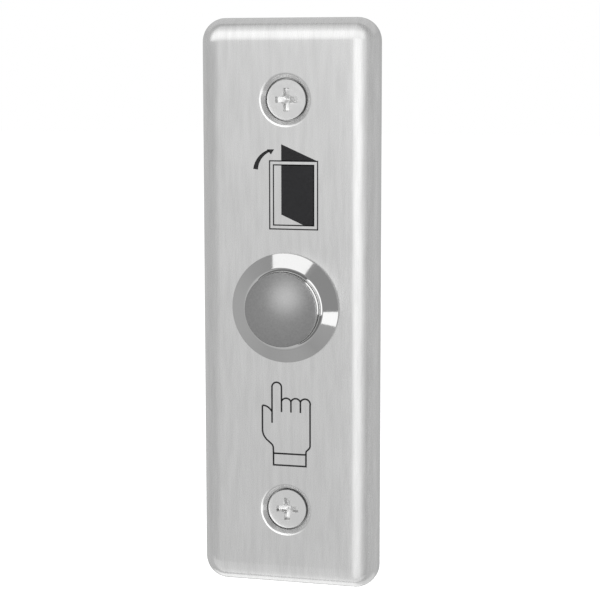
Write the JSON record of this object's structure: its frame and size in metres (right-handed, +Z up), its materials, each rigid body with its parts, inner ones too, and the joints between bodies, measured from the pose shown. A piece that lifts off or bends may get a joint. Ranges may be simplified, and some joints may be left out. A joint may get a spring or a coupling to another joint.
{
  "type": "door exit button",
  "caption": "Narrow brushed steel wall plate with a sprung, domed metal push button in a polished bevelled bezel, countersunk fixing screws and screw terminals behind.",
  "frame": {"origin": "in the wall plane, where the plate's folded rim ends, on the button's axis", "axes": "+X to the right and +Z up as seen by someone facing the plate, +Y into the wall"},
  "size_m": [0.0292, 0.0239, 0.092],
  "materials": {
    "brushed_plate": "stainless sheet with a fine vertical brush grain and softened edges",
    "screw_steel": "plain stainless, tumbled bright",
    "polished_bezel": "turned brass, nickel plated and polished",
    "satin_cap": "fine satin, bead blasted dome with a polished side",
    "spring_steel": "drawn and hardened spring steel",
    "nickel_brass": "milled brass, nickel plated",
    "black_rubber": "soft matte rubber",
    "white_nylon": "natural nylon, moulded",
    "contact_copper": "rolled copper strip",
    "silver_tip": "fine silver rivet",
    "terminal_brass": "stamped brass strip",
    "zinc_steel": "zinc plated steel",
    "black_plastic": "black glass-filled nylon, fine moulded grain"
  },
  "bodies": {
    "housing": {"face_plate": "brushed_plate", "mounting_screws": "screw_steel", "button_bezel": "polished_bezel", "lock_washer": "spring_steel", "panel_nut": "nickel_brass", "stem_seal": "black_rubber", "return_spring": "spring_steel", "fixed_tip_left": "silver_tip", "fixed_tip_right": "silver_tip", "terminal_left": "terminal_brass", "terminal_right": "terminal_brass", "clamp_washers": "zinc_steel", "terminal_screws": "zinc_steel", "insulator_base": "black_plastic"},
    "button": {"push_cap": "satin_cap", "plunger": "white_nylon", "retaining_clip": "spring_steel", "contact_spring": "spring_steel", "contact_bridge": "contact_copper", "moving_tip_left": "silver_tip", "moving_tip_right": "silver_tip"}
  },
  "joints": [
    {"name": "button_press", "type": "slide", "parent": "housing", "child": "button", "axis": [0, 1, 0], "range_m": [0, 0.002], "stiffness_N_per_m": 600, "springref_m": -0.0005, "deforming": ["return_spring"]}
  ]
}
